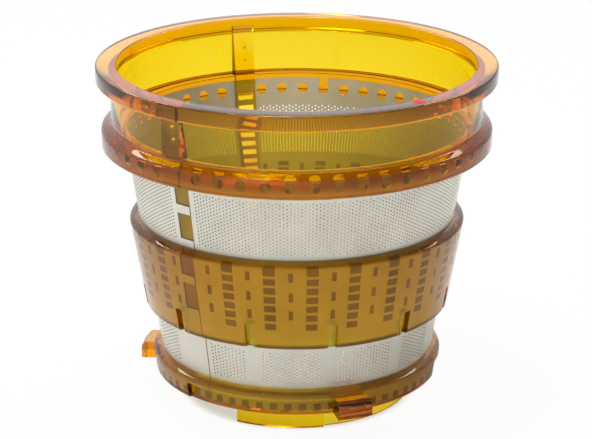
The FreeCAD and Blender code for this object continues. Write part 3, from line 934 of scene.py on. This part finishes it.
# %% Make the red paint
RED_TONES = (0.62, 0.016, 0.022, 1), (0.45, 0.008, 0.012, 1)
PAINT_ROUGHNESS = 0.5, 0.65
PAINT_GLOSS = 0.25

paint, tree, shader = new_finish("red_paint")
drifting_colour(tree, shader, RED_TONES, scale=700)
wander(tree, shader.inputs["Roughness"], *PAINT_ROUGHNESS, scale=1800, detail=2)
shader.inputs["Specular IOR Level"].default_value = PAINT_GLOSS

# %% [markdown]
# Pieces on the frame.
# Each new piece says which solid it stands for and which body it moves with. This part has no joints, so
# there is one body, called root. The solids could be hidden by hand, but a piece that names its solid
# keeps the two tied when either one changes.

# %% Ride, replace and paint


def dress(piece, node, finish):
    """Gives a piece its finish, and ties it to the solid that it stands for."""
    piece.data.materials.clear()
    piece.data.materials.append(finish)
    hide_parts(node)
    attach(piece, "root")
    print(piece.name, "stands for", node)


dress(moulding, "strainer_frame", amber)
for piece in [sheet] + mesh_fields:
    dress(piece, "mesh_screen", steel)
# The holes' walls and the etched cells' floors get steel darkened with painted shade
for piece in [plates] + hole_walls:
    dress(piece, "mesh_screen", shade_painted_steel)
# The seam flap gets steel darkened with painted shade
dress(flap, "mesh_screen", seam_shade_steel)
dress(red_mark, "alignment_mark", paint)

# %% [markdown]
# The room.
# The strainer was photographed on plain white. A room with walls could be built around it, but a white
# world is simpler: it lights from all sides and shows white to the camera, to reflections and to light
# that comes through the plastic. It is darker overhead and on its right, which gives the steel its slow
# change of tone.

# %% Light the room
WHITE = (1, 1, 1, 1)
DAYLIGHT = 0.75
CEILING = 0.45
CEILING_START = 0.45
CEILING_FULL = 0.9
RIGHT_SIDE = 0.5
RIGHT_START = 0.25
RIGHT_FULL = 0.85


def calculate(tree, operation, one, other):
    """A number worked out from two others."""
    result = add_node(tree, "ShaderNodeMath")
    result.operation = operation
    tree.links.new(one, result.inputs[0])
    tree.links.new(other, result.inputs[1])
    return result.outputs[0]


def seen_directly(tree):
    """One for rays from the camera, from reflections and through clear pieces, zero for the rest."""
    rays = tree.nodes.new("ShaderNodeLightPath")
    total = rays.outputs["Is Camera Ray"]
    for kind in ("Is Glossy Ray", "Is Transmission Ray"):
        total = calculate(tree, "MAXIMUM", total, rays.outputs[kind])
    return total


bpy.context.scene.view_settings.view_transform = "Standard"
world = bpy.data.worlds.new("white_studio")
bpy.context.scene.world = world
world.use_nodes = True
room = world.node_tree
sky = room.nodes["Background"]
sky.inputs["Color"].default_value = WHITE
towards = room.nodes.new("ShaderNodeSeparateXYZ")
room.links.new(room.nodes.new("ShaderNodeTexCoord").outputs["Generated"], towards.inputs[0])
brightness = remap(room, seen_directly(room), 0, 1, DAYLIGHT, 1)
for direction, start, full, dimmest in (("Z", CEILING_START, CEILING_FULL, CEILING),
                                        ("X", RIGHT_START, RIGHT_FULL, RIGHT_SIDE)):
    fade = remap(room, towards.outputs[direction], start, full, 1, dimmest)
    brightness = calculate(room, "MULTIPLY", brightness, fade)
    print("towards +%s the room falls to %.0f %%" % (direction, 100 * dimmest))
room.links.new(brightness, sky.inputs["Strength"])

# %% [markdown]
# The floor.
# The strainer stands on white with a faint shadow. A floor that only glows would lose the shadow, and one
# that is only lit turns grey, so it glows for the camera and keeps a part of its own shading. It doesn't
# glow inside the neck, where the strainer would keep it dark.

# %% Lay the floor
FLOOR_DROP = 0.2 * MM
FLOOR_SIZE = 3
FLOOR_TONE = (0.75, 0.75, 0.75, 1)
FLOOR_ROUGHNESS = 0.9
FLOOR_GLOW = 0.95
GLOW_START = 32 * MM
GLOW_FULL = 38 * MM

ground = flat_grid(columns=1, rows=1, width=FLOOR_SIZE, height=FLOOR_SIZE)
bmesh.ops.translate(ground, verts=ground.verts[:], vec=(0, 0, -FLOOR_DROP))
floor = finished(ground, "floor")
white, tree, shader = new_finish("white_floor")
shader.inputs["Base Color"].default_value = FLOOR_TONE
shader.inputs["Roughness"].default_value = FLOOR_ROUGHNESS
shader.inputs["Specular IOR Level"].default_value = 0
glow = add_node(tree, "ShaderNodeEmission", Color=WHITE)
from_axis = add_node(tree, "ShaderNodeVectorMath")
from_axis.operation = "LENGTH"
tree.links.new(tree.nodes.new("ShaderNodeTexCoord").outputs["Object"], from_axis.inputs[0])
outside = remap(tree, from_axis.outputs["Value"], GLOW_START, GLOW_FULL, 0, FLOOR_GLOW)
camera_ray = tree.nodes.new("ShaderNodeLightPath").outputs["Is Camera Ray"]
mixed = add_node(tree, "ShaderNodeMixShader")
tree.links.new(calculate(tree, "MULTIPLY", camera_ray, outside), mixed.inputs[0])
tree.links.new(shader.outputs[0], mixed.inputs[1])
tree.links.new(glow.outputs[0], mixed.inputs[2])
tree.links.new(mixed.outputs[0], tree.nodes["Material Output"].inputs["Surface"])
floor.data.materials.append(white)

# %% [markdown]
# Soft boxes.
# Long highlights show how glossy the plastic is. A sun or a small lamp would give hard dots, so large
# soft boxes hang overhead, behind and at both back corners. The one behind is warm, and the flat top of
# the rim reflects it.

# %% Hang the soft boxes
LAMP_WHITE = (1, 1, 1)
LAMP_WARM = (1, 0.68, 0.54)
MIDDLE = (cad_box[0] + cad_box[1]) / 2


def soft_box(name, place, width, height, watts, colour=LAMP_WHITE):
    """A large lamp that faces the middle of the strainer."""
    lamp = bpy.data.lights.new(name, "AREA")
    lamp.color = colour
    lamp.shape = "RECTANGLE"
    lamp.size = width
    lamp.size_y = height
    lamp.energy = watts
    holder = bpy.data.objects.new(name, lamp)
    bpy.context.scene.collection.objects.link(holder)
    holder.location = place
    aim = MIDDLE - holder.location
    holder.rotation_euler = aim.to_track_quat("-Z", "Y").to_euler()
    print(name, "hangs %.2f m from the strainer" % aim.length)


soft_box("soft_box_over", place=(-0.14, -0.08, 0.85), width=0.2, height=0.3, watts=4.5)
soft_box("soft_box_back", place=(0, 1.1, 0.52), width=1, height=0.35, watts=0.65, colour=LAMP_WARM)
soft_box("soft_box_left", place=(-0.45, 0.45, 0.7), width=0.45, height=0.3, watts=3)
soft_box("soft_box_right", place=(0.45, 0.45, 0.7), width=0.45, height=0.3, watts=2)

# %% [markdown]
# The camera.
# The camera stands in front of the strainer and looks down on it by a little under twenty degrees,
# through a long lens. It could be aimed at a point, but a place and a pitch are what a fit gives, and
# these were found by fitting the rim's ellipse, the rings and the foot.

# %% Place the camera
CAMERA_BACK = 0.690
CAMERA_UP = 0.2908
CAMERA_ASIDE = -0.25 * MM
CAMERA_PITCH = math.radians(18.849)
LENS = 140.8
SENSOR = 36

eye = bpy.data.cameras.new("camera")
eye.lens = LENS
eye.sensor_fit = "HORIZONTAL"
eye.sensor_width = SENSOR
camera = bpy.data.objects.new("camera", eye)
bpy.context.scene.collection.objects.link(camera)
camera.location = (CAMERA_ASIDE, -CAMERA_BACK, CAMERA_UP)
camera.rotation_euler = (math.pi / 2 - CAMERA_PITCH, 0, 0)
bpy.context.scene.camera = camera
print("the lens sees %.1f degrees across" % math.degrees(eye.angle_x))
